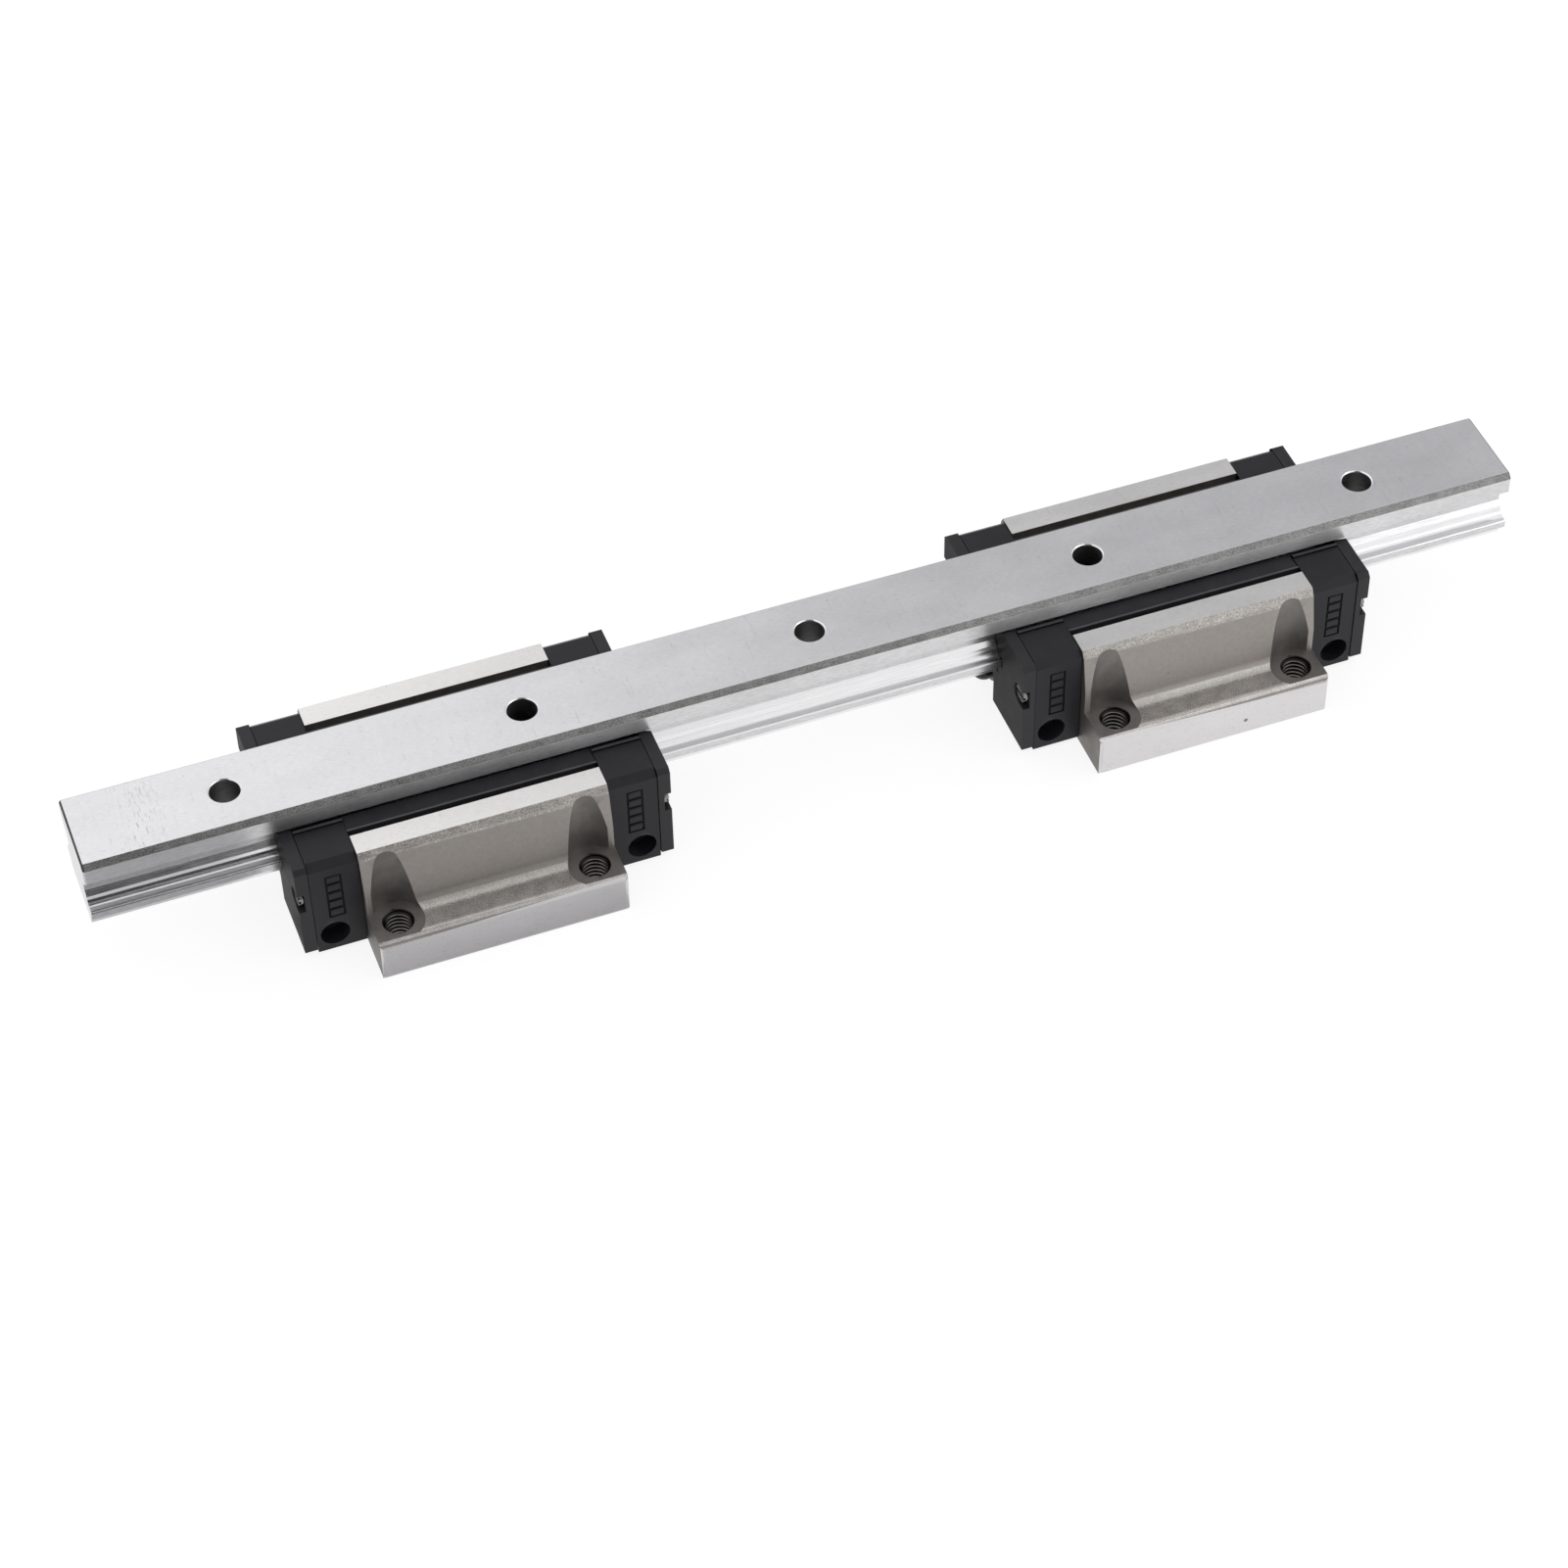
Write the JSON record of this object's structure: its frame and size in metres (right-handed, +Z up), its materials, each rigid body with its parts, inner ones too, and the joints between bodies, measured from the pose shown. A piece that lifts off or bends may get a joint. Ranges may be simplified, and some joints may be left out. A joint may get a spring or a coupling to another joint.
{
  "type": "profile linear guide rail with carriages",
  "caption": "Profile rail linear guide with sliding flanged ball carriages, end caps and seals, lying on its carriages.",
  "frame": {"origin": "centre of the bounding box's underside, on the plane of the carriages' mounting faces", "axes": "+X along the rail, +Y across it, +Z up, towards the rail's base face; the guide lies upside down on its carriages"},
  "size_m": [0.301, 0.063, 0.03],
  "materials": {
    "rail_steel": "ground steel with rough forged bevels",
    "block_steel": "ground faces, shot-blasted forged walls",
    "cap_plastic": "moulded, fine matt grain",
    "seal_rubber": "satin black",
    "strip_plastic": "moulded, satin",
    "screw_steel": "blackened, worn",
    "plug_plastic": "satin black"
  },
  "bodies": {
    "rail": {"guide_rail": "rail_steel"},
    "left_carriage": {"left_carriage_block": "block_steel", "left_carriage_left_cap": "cap_plastic", "left_carriage_right_cap": "cap_plastic", "left_carriage_left_seal": "seal_rubber", "left_carriage_right_seal": "seal_rubber", "left_carriage_front_strip": "strip_plastic", "left_carriage_back_strip": "strip_plastic", "left_carriage_screws": "screw_steel", "left_carriage_grease_plug": "plug_plastic"},
    "right_carriage": {"right_carriage_block": "block_steel", "right_carriage_left_cap": "cap_plastic", "right_carriage_right_cap": "cap_plastic", "right_carriage_left_seal": "seal_rubber", "right_carriage_right_seal": "seal_rubber", "right_carriage_front_strip": "strip_plastic", "right_carriage_back_strip": "strip_plastic", "right_carriage_screws": "screw_steel", "right_carriage_grease_plug": "plug_plastic"}
  },
  "joints": [
    {"name": "left_carriage_slide", "type": "slide", "parent": "rail", "child": "left_carriage", "axis": [1, 0, 0], "range_m": [-0.037, 0.034]},
    {"name": "right_carriage_slide", "type": "slide", "parent": "rail", "child": "right_carriage", "axis": [1, 0, 0], "range_m": [-0.034, 0.0365]}
  ]
}
